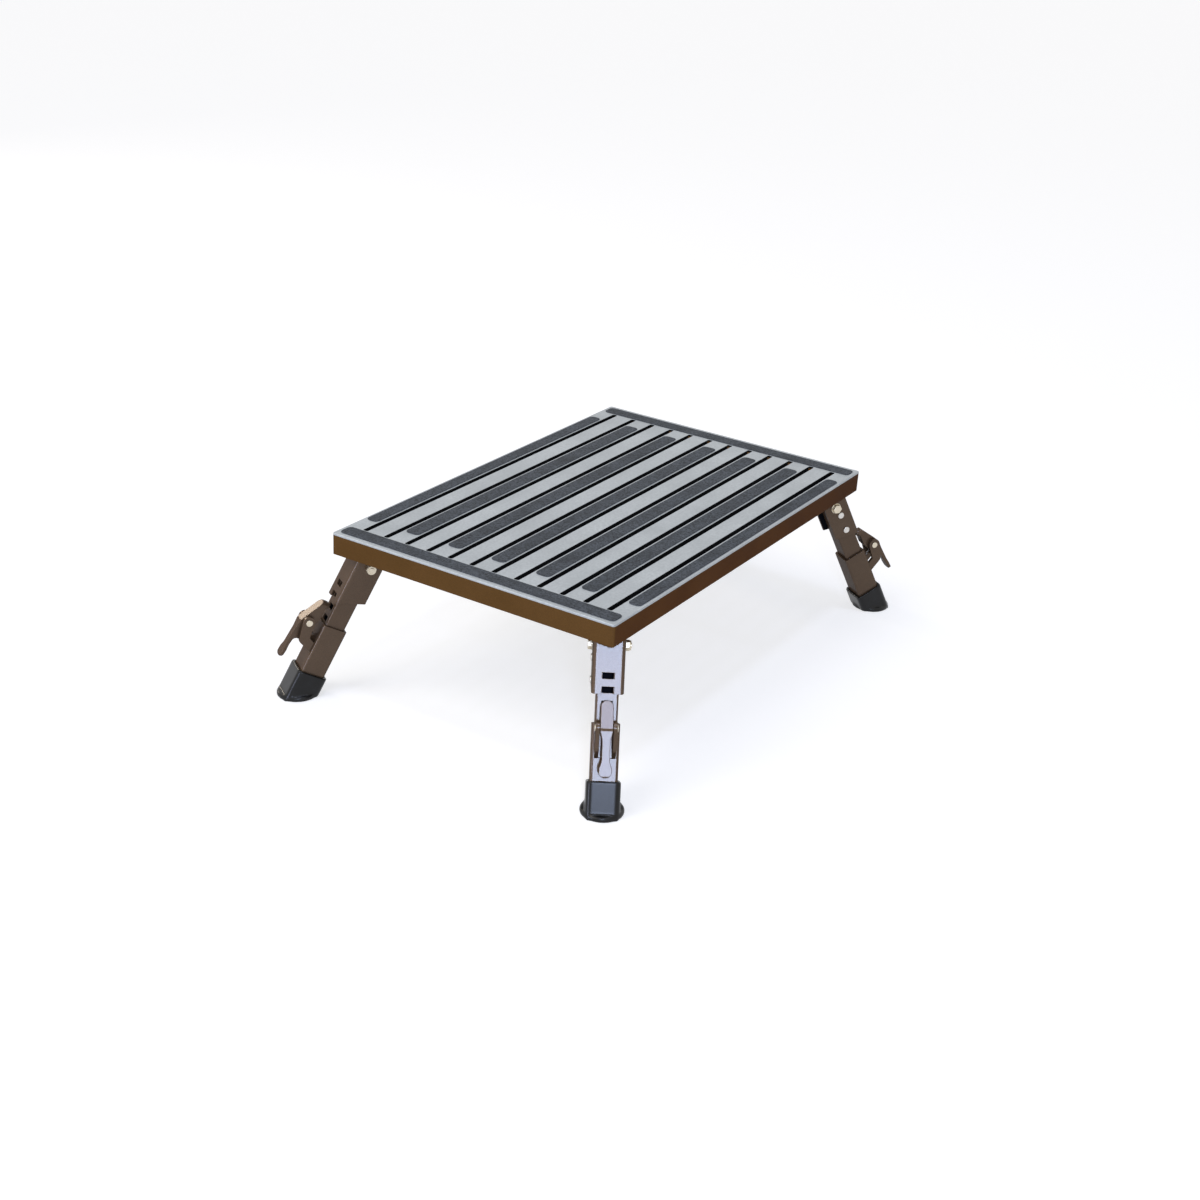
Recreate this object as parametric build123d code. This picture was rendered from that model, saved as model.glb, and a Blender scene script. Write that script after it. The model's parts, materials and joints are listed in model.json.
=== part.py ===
from build123d import *
import os
from math import acos, cos, degrees, radians, sin

# Folding step platform on four splayed, telescopic legs.
# Millimetres, +Z up, X along the long side, origin on the floor under the middle of the deck.
# Leg pieces are drawn in the leg's own frame: X outward, Y sideways, Z up along the leg from the floor.

# Deck
DECK_LENGTH = 610.0
DECK_WIDTH = 394.0
RIM_HEIGHT = 27.0
DECK_CORNER_RADIUS = 3.0
RAIL_WALL = 3.0
TREAD_THICKNESS = 2.5
TREAD_EDGE_RADIUS = 0.8
SLOT_COUNT = 12
SLOT_WIDTH = 7.0
SLOT_CORNER_RADIUS = 2.0
EDGE_BAND = 22.2
SLOT_END_MARGIN = 29.0
LIP_DEPTH = 12.0
LIP_WALL = 2.0
LIP_CLEARANCE = 2.2
CROSSBAR_SPREAD = 100.0
CROSSBAR_WIDTH = 24.0
CROSSBAR_HEIGHT = 10.0
CROSSBAR_WALL = 2.5

# Grip strips
STRIP_THICKNESS = 0.8
STRIP_MARGIN = 2.2
STRIP_CORNER_RADIUS = 6.0
STRIP_END_MARGIN = 57.0
EDGE_STRIP_INSET = 3.4
END_STRIP_INSET = 6.5
END_STRIP_GAP = 2.0
END_STRIP_SIDE_INSET = 5.0

# Leg stance
LEG_TILT = 27.0
LEG_PLAN_ANGLE = 33.5
PIVOT_INSET_X = 32.0
PIVOT_INSET_Y = 24.5
PIVOT_OFFSET = -3.0

# Corner bracket
GUSSET_X = 85.0
GUSSET_Y = 75.0
GUSSET_TOE = 8.0
GUSSET_THICKNESS = 3.0
LUG_THICKNESS = 2.1
LUG_RADIUS = 9.0
LUG_CLEARANCE = 0.2

# Leg channel
KNUCKLE_RADIUS = 15.5
STOP_GAP = 0.3
CHANNEL_DROP = 54.7
CHANNEL_WALL = 3.0
CHANNEL_BEND_RADIUS = 4.0
CHANNEL_RAKE = 10.5
WEB_GAP = 0.5
NOTCH_WIDTH = 13.5
NOTCH_HEIGHT = 8.2

# Telescopic tubes
INNER_TUBE_WIDTH = 25.0
INNER_TUBE_WALL = 2.5
INNER_TUBE_RADIUS = 2.0
INNER_TUBE_RISE = 8.0
SLIDE_CLEARANCE = 0.2
LOWER_TUBE_WALL = 2.8
LOWER_TUBE_RADIUS = 3.0
LOWER_TUBE_LENGTH = 85.0
LADDER_PITCH = 15.5
LADDER_SLOTS = 6
LADDER_SLOT_WIDTH = 12.4
LADDER_SLOT_HEIGHT = 6.7
LADDER_TOP_RISE = 20.3
STEPS_UP = 2
STEP_CLEARANCE = 0.5
TUBE_END_CLEARANCE = 2.0

# Blind rivets
RIVET_DIAMETER = 5.0
RIVET_HEAD_DIAMETER = 9.0
RIVET_HEAD_HEIGHT = 1.8
RIVET_HEAD_CHAMFER = 0.9
RIVET_BULB_DIAMETER = 6.6
RIVET_BULB_LENGTH = 2.5
RIVET_LOW_RISE = 15.5
RIVET_SPACING = 24.6
HOLE_CLEARANCE = 0.05

# Pivot fasteners
BOLT_DIAMETER = 6.4
BOLT_HEX = 11.0
BOLT_HEAD_HEIGHT = 4.2
NUT_HEIGHT = 4.6
NUT_COLLAR_HEIGHT = 1.6
BOLT_OVERHANG = 1.0
WASHER_DIAMETER = 14.0
WASHER_THICKNESS = 1.2
FASTENER_GAP = 0.1
RUNNING_CLEARANCE = 0.08

# Foot
FOOT_BASE_DIAMETER = 50.0
FOOT_BASE_HEIGHT = 6.0
FOOT_BASE_CHAMFER = 1.8
FOOT_WALL = 3.7
FOOT_CORNER_RADIUS = 6.0
FOOT_SLEEVE_TOP = 34.0
FOOT_SOCKET_FLOOR = 12.0
FOOT_CLEARANCE = 0.1

# Lever bracket and pin
BRACKET_BASE = 2.0
EAR_WALL = 4.3
EAR_RADIUS = 7.5
EAR_CLEARANCE = 0.4
BRACKET_TOP_DROP = 26.0
BRACKET_LENGTH = 12.5
HEEL_RISE = 13.5
HEEL_RADIUS = 6.0
PIN_DIAMETER = 5.0
PIN_HEAD_DIAMETER = 8.0
PIN_HEAD_HEIGHT = 1.2

# Squeeze lever
LEVER_PIVOT_DROP = 4.5
LEVER_PIVOT_RISE = 17.0
LEVER_WIDTH = 14.0
LEVER_WALL = 3.9
BOSS_RADIUS = 7.0
BOSS_ROUND = 3.5
BELLY_DROP = 25.0
BELLY_RADIUS = 5.0
RECESS_RISE = 11.0
HANDLE_WIDTH = 9.0
NECK_LENGTH = 10.0
HANDLE_THICKNESS = 3.6
HANDLE_LENGTH = 53.5
HANDLE_TIP_WIDTH = 15.5
HANDLE_TIP_RISE = 31.0
HANDLE_TIP_ROUND = 1.8
KNEE_RISE = 27.0
KNEE_DROP = 1.5
KNEE_RADIUS = 8.0
TOOTH_WIDTH = 11.0
TOOTH_HEIGHT = 3.6
TOOTH_ROUND = 0.8
TOOTH_CLEARANCE = 0.4
NOSE_THICKNESS = 4.9
NOSE_ROUND = 1.2
NOSE_OVERHANG = 1.0

# Torsion spring
SPRING_WIRE = 1.2
COIL_WALL = 1.5
COIL_LENGTH = 5.4
SPRING_CLEARANCE = 0.3
SPRING_REACH = 15.0
SPRING_SEAT_GAP = 0.1

# Worked out: stations up the leg from the floor
TILT_SIN = sin(radians(LEG_TILT))
TILT_COS = cos(radians(LEG_TILT))
STROKE_UP = STEPS_UP * LADDER_PITCH
LOWER_TOP = FOOT_SOCKET_FLOOR + LOWER_TUBE_LENGTH
CHANNEL_BOTTOM = LOWER_TOP + STROKE_UP + STEP_CLEARANCE
PIVOT_S = CHANNEL_BOTTOM + CHANNEL_DROP
LADDER_TOP = CHANNEL_BOTTOM + LADDER_TOP_RISE
TOOTH_S = LADDER_TOP - STROKE_UP
LEVER_PIVOT_S = LOWER_TOP - LEVER_PIVOT_DROP

# Worked out: widths and outward places across the leg
LOWER_TUBE_BORE = INNER_TUBE_WIDTH + 2 * SLIDE_CLEARANCE
LOWER_TUBE_WIDTH = LOWER_TUBE_BORE + 2 * LOWER_TUBE_WALL
LOWER_FACE = LOWER_TUBE_WIDTH / 2
CHANNEL_BORE = INNER_TUBE_WIDTH + 2 * (LUG_THICKNESS + 2 * LUG_CLEARANCE)
CHANNEL_WIDTH = CHANNEL_BORE + 2 * CHANNEL_WALL
CHANNEL_FACE = INNER_TUBE_WIDTH / 2 + WEB_GAP + CHANNEL_WALL
CHANNEL_BACK = PIVOT_OFFSET - KNUCKLE_RADIUS
LEVER_PIVOT_O = LOWER_FACE + LEVER_PIVOT_RISE
TOOTH_TIP_O = CHANNEL_FACE + TOOTH_CLEARANCE
EAR_BORE = LEVER_WIDTH + 2 * EAR_CLEARANCE
BRACKET_WIDTH = EAR_BORE + 2 * EAR_WALL

# Worked out: heights of the deck
PIVOT_Z = PIVOT_S * TILT_COS + PIVOT_OFFSET * TILT_SIN
RIM_BOTTOM = PIVOT_Z + KNUCKLE_RADIUS + STOP_GAP
DECK_TOP = RIM_BOTTOM + RIM_HEIGHT
TREAD_UNDER = DECK_TOP - TREAD_THICKNESS
LIP_BOTTOM = DECK_TOP - LIP_DEPTH
RAIL_FLANGE = EDGE_BAND - LIP_WALL - LIP_CLEARANCE
SLOT_PITCH = (DECK_WIDTH - 2 * EDGE_BAND - SLOT_WIDTH) / (SLOT_COUNT - 1)
SLOT_LENGTH = DECK_LENGTH - 2 * SLOT_END_MARGIN
SLOT_CENTRES = [(i - (SLOT_COUNT - 1) / 2) * SLOT_PITCH for i in range(SLOT_COUNT)]

CORNERS = {"fl": (-1, -1), "fr": (1, -1), "rl": (-1, 1), "rr": (1, 1)}


def block(x0, x1, y0, y1, z0, z1):
    """A box between two corners."""
    return Pos((x0 + x1) / 2, (y0 + y1) / 2, (z0 + z1) / 2) * Box(x1 - x0, y1 - y0, z1 - z0)


def cross_rod(diameter, y0, y1, o, s):
    """A round rod along the leg's sideways axis."""
    return Pos(o, (y0 + y1) / 2, s) * Rot(90, 0, 0) * Cylinder(diameter / 2, y1 - y0)


def side_slab(outline, width):
    """A slab across the leg from an outline drawn as outward and upward places."""
    return extrude(Plane.XZ * make_face(outline), amount=width / 2, both=True)


def square_tube(width, bore, radius, s0, s1):
    """A square tube along the leg."""
    section = RectangleRounded(width, width, radius) - Rectangle(bore, bore)
    return Pos(0, 0, s0) * extrude(section, amount=s1 - s0)


def pivot_frame(corner):
    """Frame at a corner's pivot: X outward in plan, Y along the bolt, Z up."""
    sx, sy = CORNERS[corner]
    outward = Vector(sx * cos(radians(LEG_PLAN_ANGLE)), sy * sin(radians(LEG_PLAN_ANGLE)), 0)
    place = Vector(sx * (DECK_LENGTH / 2 - PIVOT_INSET_X), sy * (DECK_WIDTH / 2 - PIVOT_INSET_Y), PIVOT_Z)
    return Plane(origin=place, x_dir=outward, z_dir=(0, 0, 1))


def leg_frame(corner):
    """Frame of a leg: origin on the floor, X outward across the leg, Z up along it."""
    pivot = pivot_frame(corner)
    across = pivot.x_dir * TILT_COS + Vector(0, 0, TILT_SIN)
    along = pivot.x_dir * -TILT_SIN + Vector(0, 0, TILT_COS)
    return Plane(origin=pivot.origin - across * PIVOT_OFFSET - along * PIVOT_S, x_dir=across, z_dir=along)


# Deck pieces


def deck_prism(z0, z1):
    """The deck's rounded outline between two heights."""
    outline = RectangleRounded(DECK_LENGTH, DECK_WIDTH, DECK_CORNER_RADIUS)
    return Pos(0, 0, z0) * extrude(outline, amount=z1 - z0)


def rail(length, reach):
    """One rim rail on the -Y side: an angle, mitred at both ends."""
    half = length / 2
    web = block(-half, half, -reach, RAIL_WALL - reach, RIM_BOTTOM, TREAD_UNDER)
    flange = block(-half, half, -reach, RAIL_FLANGE - reach, TREAD_UNDER - RAIL_WALL, TREAD_UNDER)
    inner = half - RAIL_FLANGE
    mitre = Polyline(
        (-half, -reach), (half, -reach), (inner, RAIL_FLANGE - reach), (-inner, RAIL_FLANGE - reach), close=True
    )
    keep = Pos(0, 0, RIM_BOTTOM) * extrude(make_face(mitre), amount=TREAD_UNDER - RIM_BOTTOM, dir=(0, 0, 1))
    return (web + flange) & keep


def rails():
    """The four rim rails, trimmed to the deck's rounded corners."""
    shape = deck_prism(RIM_BOTTOM, TREAD_UNDER)
    long_rail = rail(DECK_LENGTH, DECK_WIDTH / 2)
    short_rail = rail(DECK_WIDTH, DECK_LENGTH / 2)
    return {
        "rail_front": shape & long_rail,
        "rail_right": shape & (Rot(0, 0, 90) * short_rail),
        "rail_rear": shape & (Rot(0, 0, 180) * long_rail),
        "rail_left": shape & (Rot(0, 0, 270) * short_rail),
    }


def tread_plate():
    """The slotted tread, with its slot edges turned down as stiffening lips."""
    slot = RectangleRounded(SLOT_LENGTH, SLOT_WIDTH, SLOT_CORNER_RADIUS)
    face = RectangleRounded(DECK_LENGTH, DECK_WIDTH, DECK_CORNER_RADIUS)
    face -= [Pos(0, y) * slot for y in SLOT_CENTRES]
    plate = Pos(0, 0, TREAD_UNDER) * extrude(face, amount=TREAD_THICKNESS)
    plate = fillet(plate.faces().sort_by(Axis.Z)[-1].outer_wire().edges(), TREAD_EDGE_RADIUS)
    half = SLOT_LENGTH / 2 - SLOT_CORNER_RADIUS
    for y in SLOT_CENTRES:
        for side in (-1, 1):
            middle = y + side * (SLOT_WIDTH + LIP_WALL) / 2
            plate += block(-half, half, middle - LIP_WALL / 2, middle + LIP_WALL / 2, LIP_BOTTOM, TREAD_UNDER)
    return plate


def crossbar(x):
    """A channel under the lips, from one long rail to the other."""
    reach = DECK_WIDTH / 2 - RAIL_WALL
    half = CROSSBAR_WIDTH / 2
    bar = block(x - half, x + half, -reach, reach, LIP_BOTTOM - CROSSBAR_HEIGHT, LIP_BOTTOM)
    inside = half - CROSSBAR_WALL
    return bar - block(
        x - inside, x + inside, -reach, reach, LIP_BOTTOM - CROSSBAR_HEIGHT, LIP_BOTTOM - CROSSBAR_WALL
    )


def grip_strip(length, width, x, y):
    """A flat grip strip with rounded corners, stuck to the tread."""
    return Pos(x, y, DECK_TOP) * extrude(RectangleRounded(length, width, STRIP_CORNER_RADIUS), amount=STRIP_THICKNESS)


def grip_strips():
    """Strips along both long edges and every second band, and one across each end."""
    strips = {}
    length = DECK_LENGTH - 2 * STRIP_END_MARGIN
    edge_width = EDGE_BAND - EDGE_STRIP_INSET - STRIP_MARGIN
    band_width = SLOT_PITCH - SLOT_WIDTH - 2 * STRIP_MARGIN
    edge_y = DECK_WIDTH / 2 - EDGE_STRIP_INSET - edge_width / 2
    places = [(-edge_y, edge_width)]
    places += [((a + b) / 2, band_width) for a, b in zip(SLOT_CENTRES[1:-1:2], SLOT_CENTRES[2:-1:2])]
    places += [(edge_y, edge_width)]
    for number, (y, width) in enumerate(places, 1):
        strips[f"grip_strip_{number}"] = grip_strip(length, width, 0, y)
    end_width = SLOT_END_MARGIN - END_STRIP_INSET - END_STRIP_GAP
    end_x = DECK_LENGTH / 2 - END_STRIP_INSET - end_width / 2
    end_length = DECK_WIDTH - 2 * END_STRIP_SIDE_INSET
    strips["end_strip_left"] = grip_strip(end_width, end_length, -end_x, 0)
    strips["end_strip_right"] = grip_strip(end_width, end_length, end_x, 0)
    return strips


def corner_bracket(corner):
    """A corner plate welded between the rails, with two hinge lugs under it."""
    sx, sy = CORNERS[corner]
    inset = [
        (RAIL_WALL, RAIL_WALL),
        (GUSSET_X, RAIL_WALL),
        (GUSSET_X, RAIL_WALL + GUSSET_TOE),
        (RAIL_WALL + GUSSET_TOE, GUSSET_Y),
        (RAIL_WALL, GUSSET_Y),
    ]
    points = [(sx * (DECK_LENGTH / 2 - x), sy * (DECK_WIDTH / 2 - y)) for x, y in inset]
    plate = extrude(make_face(Polyline(*points, close=True)), amount=GUSSET_THICKNESS, dir=(0, 0, 1))
    bracket = Pos(0, 0, RIM_BOTTOM) * plate
    lug_outline = Circle(LUG_RADIUS) + Pos(0, (RIM_BOTTOM - PIVOT_Z) / 2) * Rectangle(
        2 * LUG_RADIUS, RIM_BOTTOM - PIVOT_Z
    )
    lug = extrude(Plane.XZ * lug_outline, amount=LUG_THICKNESS / 2, both=True)
    lug -= cross_rod(BOLT_DIAMETER + 2 * HOLE_CLEARANCE, -LUG_THICKNESS, LUG_THICKNESS, 0, 0)
    lug_y = INNER_TUBE_WIDTH / 2 + LUG_CLEARANCE + LUG_THICKNESS / 2
    for side in (-1, 1):
        bracket += pivot_frame(corner).location * Pos(0, side * lug_y, 0) * lug
    return bracket


# Pivot fasteners, drawn along Y about the pivot


def hexagon(y0, height):
    """A hexagon of the fastener's size, from y0 along Y."""
    prism = extrude(RegularPolygon(BOLT_HEX / 2, 6, major_radius=False), amount=height)
    return Pos(0, y0, 0) * Rot(-90, 0, 0) * prism


def pivot_bolt():
    """Hexagon bolt through the channel, lugs and tube."""
    flange = CHANNEL_WIDTH / 2 + FASTENER_GAP
    seat = flange + WASHER_THICKNESS
    end = flange + NUT_HEIGHT + NUT_COLLAR_HEIGHT + BOLT_OVERHANG
    return hexagon(-seat - BOLT_HEAD_HEIGHT, BOLT_HEAD_HEIGHT) + cross_rod(BOLT_DIAMETER, -seat, end, 0, 0)


def pivot_nut():
    """Locking nut with a round collar, against the flange."""
    seat = CHANNEL_WIDTH / 2 + FASTENER_GAP
    end = seat + NUT_HEIGHT + NUT_COLLAR_HEIGHT
    nut = hexagon(seat, NUT_HEIGHT) + cross_rod(BOLT_HEX, seat + NUT_HEIGHT, end, 0, 0)
    return nut - cross_rod(BOLT_DIAMETER + 2 * HOLE_CLEARANCE, seat, end, 0, 0)


def pivot_washer():
    """Plain washer under the bolt's head."""
    y1 = -CHANNEL_WIDTH / 2 - FASTENER_GAP
    y0 = y1 - WASHER_THICKNESS
    ring = cross_rod(WASHER_DIAMETER, y0, y1, 0, 0)
    return ring - cross_rod(BOLT_DIAMETER + 2 * HOLE_CLEARANCE, y0, y1, 0, 0)


def pivot_group(shape):
    """The same fastener at all four pivots, as one group."""
    return Compound(children=[pivot_frame(corner).location * shape for corner in CORNERS])


# Leg pieces, in the leg's own frame


def channel_outline():
    """Side outline of the channel: raked at the bottom, rounded about the pivot, level where it meets the stop."""
    top = (PIVOT_OFFSET + KNUCKLE_RADIUS * TILT_SIN, PIVOT_S + KNUCKLE_RADIUS * TILT_COS)
    level = (CHANNEL_FACE - top[0]) / TILT_COS
    outer_top = (CHANNEL_FACE, top[1] - level * TILT_SIN)
    back = (CHANNEL_BACK, PIVOT_S)
    foot = (CHANNEL_BACK, CHANNEL_BOTTOM + CHANNEL_RAKE)
    toe = (CHANNEL_FACE, CHANNEL_BOTTOM)
    knuckle = TangentArc(back, top, tangent=(0, 1))
    return [Line(outer_top, toe), Line(toe, foot), Line(foot, back), knuckle, Line(top, outer_top)]


def rivet_stations():
    """Stations of the blind rivets that hold the inner tube in the channel."""
    low = CHANNEL_BOTTOM + RIVET_LOW_RISE
    return [low, low + RIVET_SPACING]


def leg_channel():
    """U channel, open towards the inside, with a slot and an open notch in its web for the lever's tooth."""
    depth = CHANNEL_FACE - CHANNEL_BACK
    middle = (CHANNEL_FACE + CHANNEL_BACK) / 2
    outer = Pos(middle, 0) * Rectangle(depth, CHANNEL_WIDTH)
    outer = fillet(outer.vertices().group_by(Axis.X)[-1], CHANNEL_BEND_RADIUS)
    bore = Pos(middle - CHANNEL_WALL, 0) * Rectangle(depth, CHANNEL_BORE)
    bore = fillet(bore.vertices().group_by(Axis.X)[-1], CHANNEL_BEND_RADIUS - CHANNEL_WALL)
    height = PIVOT_S + 2 * KNUCKLE_RADIUS - CHANNEL_BOTTOM
    channel = Pos(0, 0, CHANNEL_BOTTOM) * extrude(outer - bore, amount=height)
    channel &= side_slab(channel_outline(), CHANNEL_WIDTH)
    web_in = CHANNEL_FACE - CHANNEL_WALL
    half_notch = NOTCH_WIDTH / 2
    half_slot = LADDER_SLOT_HEIGHT / 2
    channel -= block(
        web_in, CHANNEL_FACE, -half_notch, half_notch, CHANNEL_BOTTOM, CHANNEL_BOTTOM + NOTCH_HEIGHT
    )
    channel -= block(
        web_in, CHANNEL_FACE, -half_notch, half_notch, LADDER_TOP - half_slot, LADDER_TOP + half_slot
    )
    half = CHANNEL_WIDTH / 2
    channel -= cross_rod(BOLT_DIAMETER + 2 * RUNNING_CLEARANCE, -half, half, PIVOT_OFFSET, PIVOT_S)
    for station in rivet_stations():
        channel -= cross_rod(RIVET_DIAMETER + 2 * HOLE_CLEARANCE, -half, 0, 0, station)
    return channel


def inner_tube():
    """Square tube with a ladder of slots in its outer wall."""
    bottom = FOOT_SOCKET_FLOOR + STROKE_UP + TUBE_END_CLEARANCE
    half = INNER_TUBE_WIDTH / 2
    bore = INNER_TUBE_WIDTH - 2 * INNER_TUBE_WALL
    tube = square_tube(INNER_TUBE_WIDTH, bore, INNER_TUBE_RADIUS, bottom, PIVOT_S + INNER_TUBE_RISE)
    half_slot = LADDER_SLOT_HEIGHT / 2
    for i in range(LADDER_SLOTS):
        s = LADDER_TOP - i * LADDER_PITCH
        tube -= block(
            half - INNER_TUBE_WALL, half, -LADDER_SLOT_WIDTH / 2, LADDER_SLOT_WIDTH / 2, s - half_slot, s + half_slot
        )
    tube -= cross_rod(BOLT_DIAMETER + 2 * RUNNING_CLEARANCE, -half, half, PIVOT_OFFSET, PIVOT_S)
    for station in rivet_stations():
        tube -= cross_rod(RIVET_DIAMETER + 2 * HOLE_CLEARANCE, -half, 0, 0, station)
    return tube


def leg_rivets():
    """Blind rivets through one flange and the inner tube's wall, each with a spacer ring between them."""
    seat = -CHANNEL_WIDTH / 2
    flange_in = -CHANNEL_BORE / 2
    tube_out = -INNER_TUBE_WIDTH / 2
    tube_in = tube_out + INNER_TUBE_WALL
    solids = []
    for station in rivet_stations():
        head = cross_rod(RIVET_HEAD_DIAMETER, seat - RIVET_HEAD_HEIGHT, seat, 0, station)
        head = chamfer(head.edges().sort_by(Axis.Y)[0], RIVET_HEAD_CHAMFER)
        shank = cross_rod(RIVET_DIAMETER, seat, tube_in, 0, station)
        bulb = cross_rod(RIVET_BULB_DIAMETER, tube_in, tube_in + RIVET_BULB_LENGTH, 0, station)
        ring = cross_rod(RIVET_HEAD_DIAMETER, flange_in, tube_out, 0, station)
        ring -= cross_rod(RIVET_DIAMETER + 2 * HOLE_CLEARANCE, flange_in, tube_out, 0, station)
        solids += [head + shank + bulb, ring]
    return Compound(children=solids)


def lower_tube():
    """Square tube that slides on the inner tube."""
    return square_tube(LOWER_TUBE_WIDTH, LOWER_TUBE_BORE, LOWER_TUBE_RADIUS, FOOT_SOCKET_FLOOR, LOWER_TOP)


def foot():
    """Moulded rubber boot: a square sleeve leaning on a round base that lies flat on the floor."""
    floor = Plane(origin=(0, 0, 0), x_dir=(TILT_COS, 0, -TILT_SIN), z_dir=(TILT_SIN, 0, TILT_COS))
    socket = LOWER_TUBE_WIDTH + 2 * FOOT_CLEARANCE
    width = socket + 2 * FOOT_WALL
    base = Pos(0, 0, FOOT_BASE_HEIGHT / 2) * Cylinder(FOOT_BASE_DIAMETER / 2, FOOT_BASE_HEIGHT)
    base = chamfer(base.edges().sort_by(Axis.Z)[-1], FOOT_BASE_CHAMFER)
    sleeve = extrude(RectangleRounded(width, width, FOOT_CORNER_RADIUS), amount=FOOT_SLEEVE_TOP + width)
    sleeve = split(Pos(0, 0, -width) * sleeve, bisect_by=floor, keep=Keep.TOP)
    boot = sleeve + floor.location * base
    pocket = extrude(RectangleRounded(socket, socket, LOWER_TUBE_RADIUS), amount=FOOT_SLEEVE_TOP)
    return boot - Pos(0, 0, FOOT_SOCKET_FLOOR) * pocket


def lever_bracket():
    """Bracket with a foot on the lower tube and two ears that reach up and out to the lever's pin."""
    top = LOWER_TOP - BRACKET_TOP_DROP
    bottom = top - BRACKET_LENGTH
    root = Line((LOWER_FACE, bottom), (LOWER_FACE, top))
    heel = Pos(LOWER_FACE + HEEL_RISE, top) * Circle(HEEL_RADIUS)
    ear = Pos(LEVER_PIVOT_O, LEVER_PIVOT_S) * Circle(EAR_RADIUS)
    outline = make_hull(root.edges() + heel.edges()) + make_hull(heel.edges() + ear.edges())
    bracket = extrude(Plane.XZ * outline, amount=BRACKET_WIDTH / 2, both=True)
    reach = LEVER_PIVOT_O + 2 * EAR_RADIUS
    roof = LEVER_PIVOT_S + 2 * EAR_RADIUS
    bracket -= block(LOWER_FACE + BRACKET_BASE, reach, -EAR_BORE / 2, EAR_BORE / 2, bottom, roof)
    half = BRACKET_WIDTH / 2
    return bracket - cross_rod(PIN_DIAMETER + 2 * HOLE_CLEARANCE, -half, half, LEVER_PIVOT_O, LEVER_PIVOT_S)


def lever_pin():
    """Headed pin through the ears."""
    seat = BRACKET_WIDTH / 2
    tip = seat + PIN_HEAD_HEIGHT
    pin = cross_rod(PIN_DIAMETER, -tip, tip, LEVER_PIVOT_O, LEVER_PIVOT_S)
    for side in (-1, 1):
        y0, y1 = sorted((side * seat, side * tip))
        pin += cross_rod(PIN_HEAD_DIAMETER, y0, y1, LEVER_PIVOT_O, LEVER_PIVOT_S)
    return pin


def lever_back():
    """The corners of the lever's outer line: nose, knee and handle tip."""
    nose = (TOOTH_TIP_O + TOOTH_HEIGHT + NOSE_THICKNESS, TOOTH_S + LADDER_SLOT_HEIGHT / 2 + NOSE_OVERHANG)
    knee = (LOWER_FACE + KNEE_RISE, LEVER_PIVOT_S - KNEE_DROP)
    tip = (LOWER_FACE + HANDLE_TIP_RISE, LEVER_PIVOT_S - HANDLE_LENGTH)
    return nose, knee, tip


def lever_side():
    """Side outline of the lever: nose with its tooth, boss round the pin, belly and handle."""
    nose, knee, tip = lever_back()
    half_tooth = LADDER_SLOT_HEIGHT / 2 - TOOTH_CLEARANCE
    wall_o = TOOTH_TIP_O + TOOTH_HEIGHT
    belly_s = LEVER_PIVOT_S - BELLY_DROP
    points = [
        nose,
        knee,
        tip,
        (tip[0] - HANDLE_THICKNESS, tip[1]),
        (knee[0] - HANDLE_THICKNESS, belly_s),
        (LEVER_PIVOT_O - BOSS_RADIUS / 2, belly_s),
        (LEVER_PIVOT_O - BOSS_RADIUS, LEVER_PIVOT_S - BOSS_RADIUS),
        (wall_o, LEVER_PIVOT_S + BOSS_RADIUS),
        (wall_o, TOOTH_S - half_tooth),
        (TOOTH_TIP_O, TOOTH_S - half_tooth),
        (TOOTH_TIP_O, TOOTH_S + half_tooth),
    ]
    radii = [
        NOSE_ROUND,
        KNEE_RADIUS,
        HANDLE_TIP_ROUND,
        HANDLE_TIP_ROUND,
        BELLY_RADIUS,
        BELLY_RADIUS,
        BOSS_ROUND,
        BOSS_ROUND,
        TOOTH_ROUND,
        TOOTH_ROUND,
        TOOTH_ROUND,
    ]
    return FilletPolyline(*points, radius=radii, close=True)


def lever_front():
    """Front outline of the lever: a round nose, a slim handle and a wider, rounded tip."""
    nose, _, tip = lever_back()
    half_head = LEVER_WIDTH / 2
    half_handle = HANDLE_WIDTH / 2
    half_tip = HANDLE_TIP_WIDTH / 2
    head_top = nose[1] - half_head
    head_low = LEVER_PIVOT_S - BOSS_RADIUS / 2
    tip_s = tip[1] + half_tip
    right = [
        (half_head, head_top),
        (half_head, head_low),
        (half_handle, head_low - NECK_LENGTH),
        (half_handle, tip_s + NECK_LENGTH),
        (half_tip, tip_s),
    ]
    left = [(-y, s) for y, s in reversed(right)]
    body = make_face(Polyline(*right, *left, close=True))
    return body + Pos(0, head_top) * Circle(half_head) + Pos(0, tip_s) * Circle(half_tip)


def lever():
    """Squeeze lever: a U section over the pin, with the tooth on its nose and a flat handle."""
    nose, knee, tip = lever_back()
    body = side_slab(lever_side(), LEVER_WIDTH)
    body &= extrude(Plane.YZ * lever_front(), amount=tip[0])
    inside = LEVER_WIDTH / 2 - LEVER_WALL
    roof = knee[0] - HANDLE_THICKNESS
    arm_s = LEVER_PIVOT_S + RECESS_RISE
    arm_roof = nose[0] + (knee[0] - nose[0]) * (nose[1] - arm_s) / (nose[1] - knee[1]) - HANDLE_THICKNESS
    recess = Polyline(
        (LOWER_FACE, tip[1]),
        (roof, tip[1]),
        (roof, knee[1]),
        (arm_roof, arm_s),
        (LOWER_FACE, arm_s),
        close=True,
    )
    body -= side_slab(recess, 2 * inside)
    half_tooth = TOOTH_WIDTH / 2
    for side in (-1, 1):
        y0, y1 = sorted((side * half_tooth, side * LEVER_WIDTH))
        body -= block(LOWER_FACE, TOOTH_TIP_O + TOOTH_HEIGHT / 2, y0, y1, arm_s, nose[1])
    half = LEVER_WIDTH / 2
    return body - cross_rod(PIN_DIAMETER + 2 * RUNNING_CLEARANCE, -half, half, LEVER_PIVOT_O, LEVER_PIVOT_S)


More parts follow.
